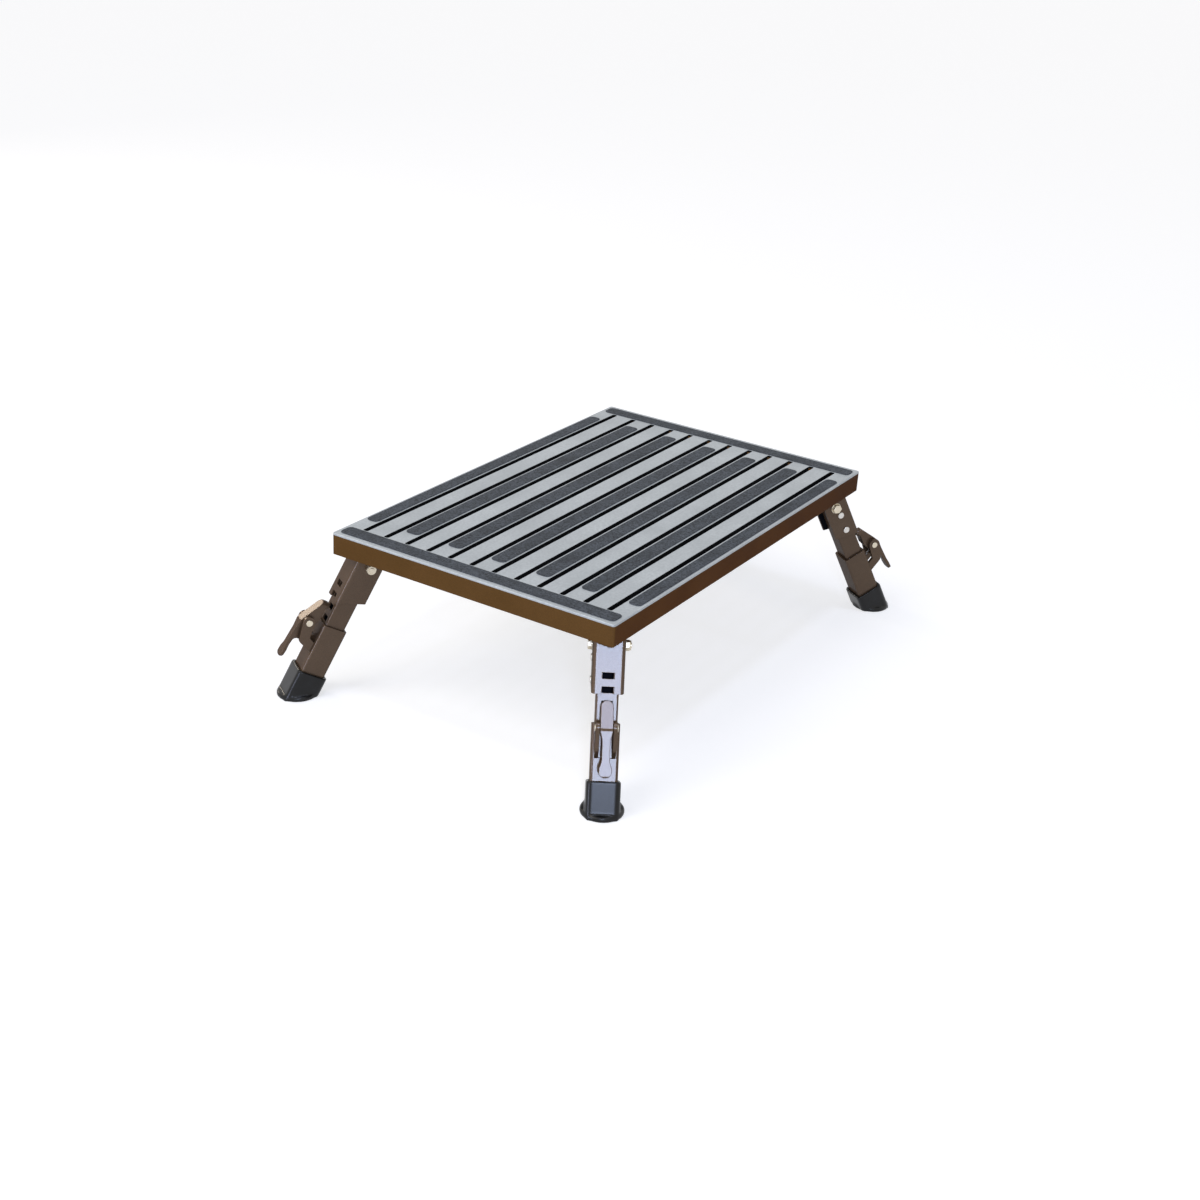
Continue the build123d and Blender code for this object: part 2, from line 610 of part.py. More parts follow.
def spring_leg(radius, y, target, side):
    """A straight wire from the coil, tangent to it, to a target place."""
    gap = Vector(target[0] - LEVER_PIVOT_O, target[1] - LEVER_PIVOT_S, 0)
    turn = side * degrees(acos(radius / gap.length))
    start = gap.normalized().rotate(Axis.Z, turn) * radius
    a = Vector(LEVER_PIVOT_O + start.X, y, LEVER_PIVOT_S + start.Y)
    b = Vector(target[0], y, target[1])
    wire = Plane(origin=a, z_dir=b - a)
    return wire.location * extrude(Circle(SPRING_WIRE / 2), amount=(b - a).length)


def lever_spring():
    """Torsion spring on the pin: one end bears on the lower tube, the other under the handle."""
    _, knee, _ = lever_back()
    bore = PIN_DIAMETER + 2 * SPRING_CLEARANCE
    radius = (bore + COIL_WALL) / 2
    half = COIL_LENGTH / 2
    coil = cross_rod(bore + 2 * COIL_WALL, -half, half, LEVER_PIVOT_O, LEVER_PIVOT_S)
    coil -= cross_rod(bore, -half, half, LEVER_PIVOT_O, LEVER_PIVOT_S)
    end_y = half - SPRING_WIRE
    end_s = LEVER_PIVOT_S - SPRING_REACH
    seat = LOWER_FACE + SPRING_WIRE / 2 + SPRING_SEAT_GAP
    roof = knee[0] - HANDLE_THICKNESS - SPRING_WIRE / 2 - SPRING_SEAT_GAP
    coil += spring_leg(radius, -end_y, (seat, end_s), -1)
    return coil + spring_leg(radius, end_y, (roof, end_s), 1)


# All the pieces by name


def build():
    """Every node of the step, placed."""
    nodes = rails()
    nodes["tread_plate"] = tread_plate()
    nodes["crossbar_left"] = crossbar(-CROSSBAR_SPREAD)
    nodes["crossbar_right"] = crossbar(CROSSBAR_SPREAD)
    nodes.update(grip_strips())
    nodes["pivot_bolts"] = pivot_group(pivot_bolt())
    nodes["pivot_nuts"] = pivot_group(pivot_nut())
    nodes["pivot_washers"] = pivot_group(pivot_washer())
    leg_pieces = {
        "leg_channel": leg_channel(),
        "inner_tube": inner_tube(),
        "leg_rivets": leg_rivets(),
        "lower_tube": lower_tube(),
        "foot": foot(),
        "lever_bracket": lever_bracket(),
        "lever_pin": lever_pin(),
        "lever": lever(),
        "lever_spring": lever_spring(),
    }
    for corner in CORNERS:
        nodes[f"corner_bracket_{corner}"] = corner_bracket(corner)
        place = leg_frame(corner).location
        for name, piece in leg_pieces.items():
            nodes[f"{name}_{corner}"] = place * piece
    return nodes


os.makedirs("parts", exist_ok=True)
for node, shape in build().items():
    export_step(shape, f"parts/{node}.step")
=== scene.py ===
"""Dresses the folding caravan step: rounded edges, coiled springs, finishes, stage, light and camera."""

import json
import logging
import math
from abc import ABC, abstractmethod
from collections.abc import Callable
from dataclasses import dataclass
from enum import Enum
from typing import Any

import bmesh
import bpy
from mathutils import Matrix, Vector

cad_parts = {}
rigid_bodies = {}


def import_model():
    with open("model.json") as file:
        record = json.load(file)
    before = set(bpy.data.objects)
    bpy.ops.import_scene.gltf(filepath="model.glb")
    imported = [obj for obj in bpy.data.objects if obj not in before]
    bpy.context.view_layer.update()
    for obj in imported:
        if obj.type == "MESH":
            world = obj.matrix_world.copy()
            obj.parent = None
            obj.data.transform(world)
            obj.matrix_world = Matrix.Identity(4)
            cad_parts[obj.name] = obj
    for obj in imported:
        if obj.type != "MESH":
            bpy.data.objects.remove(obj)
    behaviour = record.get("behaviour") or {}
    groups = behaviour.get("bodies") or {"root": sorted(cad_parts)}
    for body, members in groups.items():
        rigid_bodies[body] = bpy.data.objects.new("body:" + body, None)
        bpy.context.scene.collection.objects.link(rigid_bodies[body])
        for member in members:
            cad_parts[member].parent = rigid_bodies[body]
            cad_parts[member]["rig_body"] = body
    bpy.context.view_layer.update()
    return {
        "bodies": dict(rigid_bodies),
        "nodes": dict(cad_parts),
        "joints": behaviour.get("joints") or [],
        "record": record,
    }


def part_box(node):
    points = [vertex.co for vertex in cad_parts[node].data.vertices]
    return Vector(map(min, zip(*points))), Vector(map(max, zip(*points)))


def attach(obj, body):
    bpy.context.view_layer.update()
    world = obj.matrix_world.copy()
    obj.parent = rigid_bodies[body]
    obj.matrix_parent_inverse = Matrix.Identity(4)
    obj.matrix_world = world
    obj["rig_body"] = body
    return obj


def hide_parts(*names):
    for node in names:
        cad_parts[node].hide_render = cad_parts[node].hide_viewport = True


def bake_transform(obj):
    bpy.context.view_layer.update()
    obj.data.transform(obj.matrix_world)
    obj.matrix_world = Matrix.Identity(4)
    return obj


LOG = logging.getLogger("caravan_step")
MM = 0.001
MERGE_MM = 0.002
FLAT_DEG = 0.5
WHITE = "#FFFFFF"

Colour = tuple[float, float, float, float]
Socket = bpy.types.NodeSocket
Tree = bpy.types.NodeTree


class Corner(Enum):
    """The deck's four corners, by the ends of their pieces' names."""

    FRONT_LEFT = "fl"
    FRONT_RIGHT = "fr"
    REAR_LEFT = "rl"
    REAR_RIGHT = "rr"


class Slot(Enum):
    """The record's material slots."""

    BROWN_PAINT = "brown_paint"
    TREAD_METAL = "tread_metal"
    GRIP_TAPE = "grip_tape"
    ZINC_STEEL = "zinc_steel"
    RIVET_METAL = "rivet_metal"
    FOOT_RUBBER = "foot_rubber"


# Colours and nodes


def linear(code: str) -> Colour:
    """Turns an sRGB hex colour into linear light.

    Args:
        code: The colour as "#RRGGBB".

    Returns:
        Linear red, green and blue, with an alpha of one.
    """
    channels = [int(code[i : i + 2], 16) / 255 for i in (1, 3, 5)]
    red, green, blue = [c / 12.92 if c <= 0.04045 else ((c + 0.055) / 1.055) ** 2.4 for c in channels]
    return red, green, blue, 1.0


def per_metre(size_mm: float) -> float:
    """Scale of a pattern whose features are size_mm wide, on coordinates in metres."""
    return 1.0 / (size_mm * MM)


def add_node(
    tree: Tree, kind: str, inputs: dict[str | int, Any] | None = None, **settings: Any
) -> bpy.types.Node:
    """Adds a shader node, sets its options and fills its inputs.

    Args:
        tree: The material's node tree.
        kind: The node's type name.
        inputs: A value, or a socket to link from, for each input by name or number.
        **settings: Options of the node itself.

    Returns:
        The new node.
    """
    node = tree.nodes.new(kind)
    for name, value in settings.items():
        setattr(node, name, value)
    for name, value in (inputs or {}).items():
        if isinstance(value, Socket):
            tree.links.new(value, node.inputs[name])
        else:
            node.inputs[name].default_value = value
    return node


# Finishes


class Finish(ABC):
    """A surface finish that makes its own material."""

    name: str

    @abstractmethod
    def surface(self, tree: Tree, place: Socket) -> Socket:
        """Adds the finish's nodes.

        Args:
            tree: The material's node tree.
            place: Object coordinates, in metres.

        Returns:
            The shader to show.
        """

    def material(self) -> bpy.types.Material:
        """Makes the material from the finish's nodes."""
        made = bpy.data.materials.new(self.name)
        made.use_nodes = True
        tree = made.node_tree
        tree.nodes.clear()
        place = add_node(tree, "ShaderNodeTexCoord").outputs["Object"]
        add_node(tree, "ShaderNodeOutputMaterial", {"Surface": self.surface(tree, place)})
        return made


@dataclass(frozen=True)
class BronzePaint(Finish):
    """Bronze metallic paint on aluminium: a brown sheen under a pearl lacquer that mirrors pale light."""

    name: str
    light: str
    dark: str
    edge: str
    cloud_mm: float = 45.0
    flake_mm: float = 0.6
    flake_share: float = 0.14
    peel_mm: float = 2.6
    peel_depth_mm: float = 0.03
    relief: float = 0.5
    metallic: float = 0.5
    gloss: float = 0.1
    roughness: tuple[float, float] = (0.38, 0.5)
    lacquer: float = 0.1
    lacquer_ior: float = 2.2
    lacquer_roughness: float = 0.07

    def surface(self, tree: Tree, place: Socket) -> Socket:
        """Adds clouded brown, metal flake and a lacquered surface."""
        cloud = add_node(
            tree, "ShaderNodeTexNoise", {"Vector": place, "Scale": per_metre(self.cloud_mm), "Detail": 3.0}
        )
        brown = add_node(
            tree,
            "ShaderNodeMix",
            {0: cloud.outputs["Fac"], 6: linear(self.dark), 7: linear(self.light)},
            data_type="RGBA",
        )
        flake = add_node(tree, "ShaderNodeTexVoronoi", {"Vector": place, "Scale": per_metre(self.flake_mm)})
        sparkle = add_node(tree, "ShaderNodeRGBToBW", {"Color": flake.outputs["Color"]})
        flaked = add_node(
            tree,
            "ShaderNodeMix",
            {0: self.flake_share, 6: brown.outputs[2], 7: sparkle.outputs["Val"]},
            data_type="RGBA",
            blend_type="OVERLAY",
        )
        peel = add_node(tree, "ShaderNodeTexNoise", {"Vector": place, "Scale": per_metre(self.peel_mm)})
        bump = add_node(
            tree,
            "ShaderNodeBump",
            {"Strength": self.relief, "Distance": self.peel_depth_mm * MM, "Height": peel.outputs["Fac"]},
        )
        rough = add_node(
            tree,
            "ShaderNodeMapRange",
            {"Value": cloud.outputs["Fac"], "To Min": self.roughness[0], "To Max": self.roughness[1]},
        )
        shader = add_node(
            tree,
            "ShaderNodeBsdfPrincipled",
            {
                "Base Color": flaked.outputs[2],
                "Metallic": self.metallic,
                "Roughness": rough.outputs["Result"],
                "Specular IOR Level": self.gloss,
                "Specular Tint": linear(self.edge),
                "Coat Weight": self.lacquer,
                "Coat IOR": self.lacquer_ior,
                "Coat Roughness": self.lacquer_roughness,
                "Normal": bump.outputs["Normal"],
            },
        )
        return shader.outputs["BSDF"]


@dataclass(frozen=True)
class SilverTread(Finish):
    """Aluminium plate with a fine embossed grain: a satin silver, a little uneven in tone."""

    name: str = "embossed_silver_aluminium"
    light: str = "#D2D7D8"
    dark: str = "#8D9294"
    grain_mm: float = 3.0
    grain_depth_mm: float = 0.16
    relief: float = 0.6
    cloud_mm: float = 60.0
    base_tone: float = 0.2
    metallic: float = 0.55
    roughness: float = 0.46

    def surface(self, tree: Tree, place: Socket) -> Socket:
        """Adds the embossed grain and a clouded silver."""
        grain = add_node(
            tree,
            "ShaderNodeTexNoise",
            {"Vector": place, "Scale": per_metre(self.grain_mm), "Detail": 2.0, "Roughness": 0.6},
        )
        cloud = add_node(
            tree, "ShaderNodeTexNoise", {"Vector": place, "Scale": per_metre(self.cloud_mm), "Detail": 4.0}
        )
        tone = add_node(
            tree,
            "ShaderNodeMath",
            {0: grain.outputs["Fac"], 1: cloud.outputs["Fac"], 2: self.base_tone},
            operation="MULTIPLY_ADD",
        )
        silver = add_node(
            tree,
            "ShaderNodeMix",
            {0: tone.outputs["Value"], 6: linear(self.dark), 7: linear(self.light)},
            data_type="RGBA",
        )
        bump = add_node(
            tree,
            "ShaderNodeBump",
            {"Strength": self.relief, "Distance": self.grain_depth_mm * MM, "Height": grain.outputs["Fac"]},
        )
        shader = add_node(
            tree,
            "ShaderNodeBsdfPrincipled",
            {
                "Base Color": silver.outputs[2],
                "Metallic": self.metallic,
                "Roughness": self.roughness,
                "Normal": bump.outputs["Normal"],
            },
        )
        return shader.outputs["BSDF"]


@dataclass(frozen=True)
class SlotShade(Finish):
    """Painted shade on the slots' turned-down edges: matt, nearly black, a little paler in patches."""

    name: str = "slot_painted_shade"
    black: str = "#070708"
    dust: str = "#141415"
    dust_mm: float = 9.0
    roughness: float = 0.9
    gloss: float = 0.05

    def surface(self, tree: Tree, place: Socket) -> Socket:
        """Adds near-black painted shade, a little paler in patches."""
        dust = add_node(
            tree, "ShaderNodeTexNoise", {"Vector": place, "Scale": per_metre(self.dust_mm), "Detail": 4.0}
        )
        colour = add_node(
            tree,
            "ShaderNodeMix",
            {0: dust.outputs["Fac"], 6: linear(self.black), 7: linear(self.dust)},
            data_type="RGBA",
        )
        shader = add_node(
            tree,
            "ShaderNodeBsdfPrincipled",
            {
                "Base Color": colour.outputs[2],
                "Roughness": self.roughness,
                "Specular IOR Level": self.gloss,
            },
        )
        return shader.outputs["BSDF"]


@dataclass(frozen=True)
class GritTape(Finish):
    """Anti-slip tape: mineral grit in a dark resin, matt and speckled, drawn coarse so that it shows."""

    name: str = "mineral_grit_tape"
    resin: str = "#1D2023"
    grain: str = "#50555A"
    grit_mm: float = 1.9
    grit_depth_mm: float = 0.35
    relief: float = 0.7
    worn_mm: float = 38.0
    full_grain: float = 0.5
    roughness: float = 0.78
    gloss: float = 0.35

    def surface(self, tree: Tree, place: Socket) -> Socket:
        """Adds single grains by cell, worn patches and the grit's relief."""
        grit = add_node(tree, "ShaderNodeTexVoronoi", {"Vector": place, "Scale": per_metre(self.grit_mm)})
        shade = add_node(tree, "ShaderNodeRGBToBW", {"Color": grit.outputs["Color"]})
        worn = add_node(
            tree, "ShaderNodeTexNoise", {"Vector": place, "Scale": per_metre(self.worn_mm), "Detail": 4.0}
        )
        mixed = add_node(
            tree, "ShaderNodeMath", {0: shade.outputs["Val"], 1: worn.outputs["Fac"]}, operation="MULTIPLY"
        )
        spread = add_node(
            tree, "ShaderNodeMapRange", {"Value": mixed.outputs["Value"], "From Max": self.full_grain}
        )
        colour = add_node(
            tree,
            "ShaderNodeMix",
            {0: spread.outputs["Result"], 6: linear(self.resin), 7: linear(self.grain)},
            data_type="RGBA",
        )
        bump = add_node(
            tree,
            "ShaderNodeBump",
            {
                "Strength": self.relief,
                "Distance": self.grit_depth_mm * MM,
                "Height": grit.outputs["Distance"],
            },
        )
        shader = add_node(
            tree,
            "ShaderNodeBsdfPrincipled",
            {
                "Base Color": colour.outputs[2],
                "Roughness": self.roughness,
                "Specular IOR Level": self.gloss,
                "Normal": bump.outputs["Normal"],
            },
        )
        return shader.outputs["BSDF"]


@dataclass(frozen=True)
class BootRubber(Finish):
    """Moulded black rubber: a soft cool sheen over a fine mould texture, dusty in the hollows."""

    name: str = "moulded_black_rubber"
    black: str = "#090909"
    dust: str = "#161718"
    dust_mm: float = 14.0
    dust_range: tuple[float, float] = (0.45, 0.8)
    skin_mm: float = 0.8
    skin_depth_mm: float = 0.04
    relief: float = 0.5
    roughness: float = 0.28
    gloss: float = 0.3

    def surface(self, tree: Tree, place: Socket) -> Socket:
        """Adds dusty black and the mould's skin."""
        dust = add_node(
            tree, "ShaderNodeTexNoise", {"Vector": place, "Scale": per_metre(self.dust_mm), "Detail": 5.0}
        )
        amount = add_node(
            tree,
            "ShaderNodeMapRange",
            {"Value": dust.outputs["Fac"], "From Min": self.dust_range[0], "From Max": self.dust_range[1]},
        )
        colour = add_node(
            tree,
            "ShaderNodeMix",
            {0: amount.outputs["Result"], 6: linear(self.black), 7: linear(self.dust)},
            data_type="RGBA",
        )
        skin = add_node(tree, "ShaderNodeTexNoise", {"Vector": place, "Scale": per_metre(self.skin_mm)})
        bump = add_node(
            tree,
            "ShaderNodeBump",
            {"Strength": self.relief, "Distance": self.skin_depth_mm * MM, "Height": skin.outputs["Fac"]},
        )
        shader = add_node(
            tree,
            "ShaderNodeBsdfPrincipled",
            {
                "Base Color": colour.outputs[2],
                "Roughness": self.roughness,
                "Specular IOR Level": self.gloss,
                "Normal": bump.outputs["Normal"],
            },
        )
        return shader.outputs["BSDF"]


@dataclass(frozen=True)
class PlainMetal(Finish):
    """Bare or plated metal: a bright grey with fine tool marks and dull patches."""

    name: str
    light: str
    dark: str
    patch_mm: float = 4.0
    mark_mm: float = 0.5
    mark_depth_mm: float = 0.02
    relief: float = 0.4
    roughness: tuple[float, float] = (0.22, 0.42)

    def surface(self, tree: Tree, place: Socket) -> Socket:
        """Adds patchy metal and fine marks."""
        patch = add_node(
            tree, "ShaderNodeTexNoise", {"Vector": place, "Scale": per_metre(self.patch_mm), "Detail": 4.0}
        )
        colour = add_node(
            tree,
            "ShaderNodeMix",
            {0: patch.outputs["Fac"], 6: linear(self.dark), 7: linear(self.light)},
            data_type="RGBA",
        )
        rough = add_node(
            tree,
            "ShaderNodeMapRange",
            {"Value": patch.outputs["Fac"], "To Min": self.roughness[0], "To Max": self.roughness[1]},
        )
        mark = add_node(tree, "ShaderNodeTexNoise", {"Vector": place, "Scale": per_metre(self.mark_mm)})
        bump = add_node(
            tree,
            "ShaderNodeBump",
            {"Strength": self.relief, "Distance": self.mark_depth_mm * MM, "Height": mark.outputs["Fac"]},
        )
        shader = add_node(
            tree,
            "ShaderNodeBsdfPrincipled",
            {
                "Base Color": colour.outputs[2],
                "Metallic": 1.0,
                "Roughness": rough.outputs["Result"],
                "Normal": bump.outputs["Normal"],
            },
        )
        return shader.outputs["BSDF"]


# Solids with rounded edges


def welded(node: bpy.types.Object) -> bmesh.types.BMesh:
    """Copies a solid whose loose triangles are merged.

    Args:
        node: The solid's object.

    Returns:
        The copy's bmesh.
    """
    bm = bmesh.new()
    bm.from_mesh(node.data)
    bmesh.ops.remove_doubles(bm, verts=bm.verts, dist=MERGE_MM * MM)
    return bm


def finished(bm: bmesh.types.BMesh, name: str, smooth_deg: float = 40.0) -> bpy.types.Object:
    """Turns a bmesh into a shaded object in the scene.

    Args:
        bm: The shape; it is freed.
        name: The object's name.
        smooth_deg: Faces that meet at a smaller angle are shaded as one surface.

    Returns:
        The object.
    """
    mesh = bpy.data.meshes.new(name)
    for face in bm.faces:
        face.smooth = True
    bm.to_mesh(mesh)
    bm.free()
    mesh.set_sharp_from_angle(angle=math.radians(smooth_deg))
    made = bpy.data.objects.new(name, mesh)
    bpy.context.scene.collection.objects.link(made)
    weighted = made.modifiers.new("even_shading", "WEIGHTED_NORMAL")
    weighted.keep_sharp = True
    return made


@dataclass(frozen=True)
class Rounding:
    """How a solid's outer edges are rounded off; a width of zero leaves them sharp."""

    width_mm: float
    segments: int = 2
    shortest_mm: float = 0.0
    bend_mm: float = 0.0
    bend_segments: int = 3
    bend_from_mm: float = 50.0
    sharp_deg: float = 35.0

    def edges(self, bm: bmesh.types.BMesh, shortest_mm: float) -> list[bmesh.types.BMEdge]:
        """Sharp outer edges that are at least that long."""
        return [
            edge
            for edge in bm.edges
            if len(edge.link_faces) == 2
            and edge.calc_length() >= shortest_mm * MM
            and edge.is_convex
            and edge.calc_face_angle() > math.radians(self.sharp_deg)
        ]

    def bevel(
        self, bm: bmesh.types.BMesh, edges: list[bmesh.types.BMEdge], width_mm: float, segments: int
    ) -> None:
        """Rounds edges off.

        Args:
            bm: The solid.
            edges: The edges to round.
            width_mm: How far the round reaches on either side; zero leaves the edges sharp.
            segments: Faces across the round.
        """
        if width_mm:
            bmesh.ops.bevel(
                bm,
                geom=edges,
                offset=width_mm * MM,
                offset_type="OFFSET",
                affect="EDGES",
                segments=segments,
                profile=0.5,
                material=-1,
            )

    def copy(self, node: bpy.types.Object, name: str) -> bpy.types.Object:
        """Makes a rounded copy of a solid, in the same place: first its long bends, then the other edges.

        Args:
            node: The solid's object.
            name: The copy's name.

        Returns:
            The copy.
        """
        bm = welded(node)
        bmesh.ops.dissolve_limit(bm, angle_limit=math.radians(FLAT_DEG), verts=bm.verts, edges=bm.edges)
        self.bevel(bm, self.edges(bm, self.bend_from_mm), self.bend_mm, self.bend_segments)
        self.bevel(bm, self.edges(bm, self.shortest_mm), self.width_mm, self.segments)
        return finished(bm, name)


@dataclass(frozen=True)
class Moulding:
    """How a moulded rubber solid is softened: an even fine mesh, smoothed until its edges are round."""

    mesh_mm: float = 0.9
    passes: int = 12
    pull: float = 0.5

    def copy(self, node: bpy.types.Object, name: str) -> bpy.types.Object:
        """Makes a soft-edged copy of a solid, in the same place.

        Args:
            node: The solid's object.
            name: The copy's name.

        Returns:
            The copy.
        """
        rough = finished(welded(node), f"{name}_rough")
        rough.modifiers.clear()
        even = rough.modifiers.new("even_mesh", "REMESH")
        even.mode = "VOXEL"
        even.voxel_size = self.mesh_mm * MM
        meshed = rough.evaluated_get(bpy.context.evaluated_depsgraph_get())
        bm = bmesh.new()
        bm.from_mesh(meshed.data)
        bpy.data.objects.remove(rough)
        for _ in range(self.passes):
            bmesh.ops.smooth_vert(
                bm, verts=bm.verts, factor=self.pull, use_axis_x=True, use_axis_y=True, use_axis_z=True
            )
        return finished(bm, name)


# Sub-assemblies


@dataclass
class Workshop:
    """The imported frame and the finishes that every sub-assembly draws on."""

    frame: dict[str, Any]
    materials: dict[str, bpy.types.Material]

    def joint(self, name: str) -> dict[str, Any]:
        """The joint of that name."""
        return next(j for j in self.frame["joints"] if j["name"] == name)

    def dress(self, piece: bpy.types.Object, finish: str, slot: Slot, node: str) -> None:
        """Gives a piece its finish, and lets it stand for a node.

        Args:
            piece: The new piece.
            finish: The finish's name.
            slot: The record's slot that it belongs to; not used.
            node: The node that it stands for.
        """
        piece.data.materials.clear()
        piece.data.materials.append(self.materials[finish])
        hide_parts(node)
        LOG.info("%s for %s, in %s", piece.name, node, finish)

    def round_off(
        self, node: str, rounding: Rounding | Moulding, finish: str, slot: Slot
    ) -> bpy.types.Object:
        """Replaces a node by its rounded, dressed copy.

        Args:
            node: The node's name.
            rounding: How its edges are softened.
            finish: The finish's name.
            slot: The record's slot that it belongs to.

        Returns:
            The copy.
        """
        solid = self.frame["nodes"][node]
        piece = rounding.copy(solid, f"{node}_finished")
        self.dress(piece, finish, slot, node)
        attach(piece, solid["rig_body"])
        return piece

    def add_finish(
        self, piece: bpy.types.Object, finish: str, chosen: Callable[[bpy.types.MeshPolygon], bool]
    ) -> None:
        """Gives some faces of a dressed piece a second finish.

        Args:
            piece: The piece.
            finish: The second finish's name.
            chosen: Says whether a face takes it.
        """
        piece.data.materials.append(self.materials[finish])
        for face in piece.data.polygons:
            if chosen(face):
                face.material_index = 1


@dataclass
class Deck:
    """The slotted tread in its rim, with its grip strips, crossbars, corner plates and pivot fasteners."""

    shop: Workshop
    rail_rounding: Rounding = Rounding(0.9, segments=3, shortest_mm=200.0)
    bar_rounding: Rounding = Rounding(0.8, shortest_mm=200.0)
    plate_rounding: Rounding = Rounding(0.4, shortest_mm=14.0)
    strip_rounding: Rounding = Rounding(0.3)
    bolt_rounding: Rounding = Rounding(0.5)
    nut_rounding: Rounding = Rounding(0.5, shortest_mm=4.0)
    washer_rounding: Rounding = Rounding(0.2)
    strip_count: int = 7
    unshaded_edge_mm: float = 4.0
    upright: float = 0.5

    def build(self) -> None:
        """Builds and dresses every piece of the deck."""
        paint = "ochre_bronze_paint"
        for side in ("front", "rear", "left", "right"):
            self.shop.round_off(f"rail_{side}", self.rail_rounding, paint, Slot.BROWN_PAINT)
        for side in ("left", "right"):
            self.shop.round_off(f"crossbar_{side}", self.bar_rounding, paint, Slot.BROWN_PAINT)
        for corner in Corner:
            bracket = f"corner_bracket_{corner.value}"
            self.shop.round_off(bracket, self.plate_rounding, paint, Slot.BROWN_PAINT)
        tread = self.shop.round_off("tread_plate", Rounding(0.0), SilverTread.name, Slot.TREAD_METAL)
        # the slots' upright walls take a near-black finish: painted shade
        self.shade_slots(tread)
        long_strips = [f"grip_strip_{i + 1}" for i in range(self.strip_count)]
        for strip in [*long_strips, "end_strip_left", "end_strip_right"]:
            self.shop.round_off(strip, self.strip_rounding, GritTape.name, Slot.GRIP_TAPE)
        fasteners = {
            "pivot_bolts": self.bolt_rounding,
            "pivot_nuts": self.nut_rounding,
            "pivot_washers": self.washer_rounding,
        }
        for group, rounding in fasteners.items():
            self.shop.round_off(group, rounding, "zinc_plated_steel", Slot.ZINC_STEEL)

    def shade_slots(self, tread: bpy.types.Object) -> None:
        """Paints shade on the slots' upright walls as a near-black finish, and leaves the plate's outer
        edges unshaded.

        Args:
            tread: The tread plate, dressed.
        """
        low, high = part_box("tread_plate")
        edge = self.unshaded_edge_mm * MM

        def in_slot(face: bpy.types.MeshPolygon) -> bool:
            """Whether a face is upright and away from the plate's outer edges."""
            inside = all(low[i] + edge < face.center[i] < high[i] - edge for i in (0, 1))
            return inside and abs(face.normal.z) < self.upright

        # painted shade: near-black on the upright walls inside the slots, standing in for the shade there
        self.shop.add_finish(tread, SlotShade.name, in_slot)


@dataclass
class LeverSpring:
    """A torsion spring of round wire: a coil on the lever's pin and two straight ends."""

    wire_mm: float = 1.2
    coil_radius_mm: float = 3.55
    coil_half_mm: float = 2.1
    whole_turns: int = 3
    tube_end_mm: tuple[float, float] = (-16.3, -15.0)
    handle_end_mm: tuple[float, float] = (5.7, -15.0)
    ring_sides: int = 10
    steps_per_turn: int = 20
    merge_mm: float = 0.0012

    def tangent_angle(self, target: tuple[float, float], leaving: bool) -> float:
        """Angle on the coil where the straight wire to a target touches it.

        Args:
            target: The wire's end, outward and up from the pin.
            leaving: Whether the wire runs on from the coil, or into it.

        Returns:
            The angle from outward, in radians.
        """
        turn = math.acos(self.coil_radius_mm / math.hypot(*target))
        return math.atan2(target[1], target[0]) + (-turn if leaving else turn)

    def build(self, name: str, place: Matrix) -> bpy.types.Object:
        """Makes the spring by spinning a ring of wire round the pin.

        Args:
            name: The object's name.
            place: The pin's frame: X outward, Y along the pin, Z up the leg.

        Returns:
            The spring.
        """
        start = self.tangent_angle(self.tube_end_mm, leaving=False)
        end = self.tangent_angle(self.handle_end_mm, leaving=True)
        sweep = (end - start) % math.tau + self.whole_turns * math.tau
        steps = round(self.steps_per_turn * sweep / math.tau)
        bm = bmesh.new()
        ring = bmesh.ops.create_circle(bm, segments=self.ring_sides, radius=self.wire_mm / 2)["verts"]
        across = Matrix.Translation((self.coil_radius_mm, -self.coil_half_mm, 0))
        turned = Matrix.Rotation(-start, 4, "Y")
        bmesh.ops.transform(bm, matrix=turned @ across, verts=ring)
        first = list(bm.edges)
        last = bmesh.ops.spin(
            bm,
            geom=ring + first,
            cent=(0, 0, 0),
            axis=(0, -1, 0),
            dvec=(0, 2 * self.coil_half_mm / steps, 0),
            angle=sweep,
            steps=steps,
        )["geom_last"]
        last_edges = [item for item in last if isinstance(item, bmesh.types.BMEdge)]
        for edges, target, angle in (
            (first, self.tube_end_mm, start),
            (last_edges, self.handle_end_mm, end),
        ):
            touch = Vector((math.cos(angle), 0, math.sin(angle))) * self.coil_radius_mm
            reach = Vector((target[0], 0, target[1])) - touch
            grown = bmesh.ops.extrude_edge_only(bm, edges=edges)["geom"]
            tip = [item for item in grown if isinstance(item, bmesh.types.BMVert)]
            bmesh.ops.translate(bm, verts=tip, vec=reach)
            rim = [item for item in grown if isinstance(item, bmesh.types.BMEdge)]
            bmesh.ops.contextual_create(bm, geom=[e for e in rim if all(v in tip for v in e.verts)])
        bmesh.ops.remove_doubles(bm, verts=bm.verts, dist=self.merge_mm)
        bmesh.ops.recalc_face_normals(bm, faces=bm.faces)
        bmesh.ops.transform(bm, matrix=place @ Matrix.Scale(MM, 4), verts=bm.verts)
        return finished(bm, name)


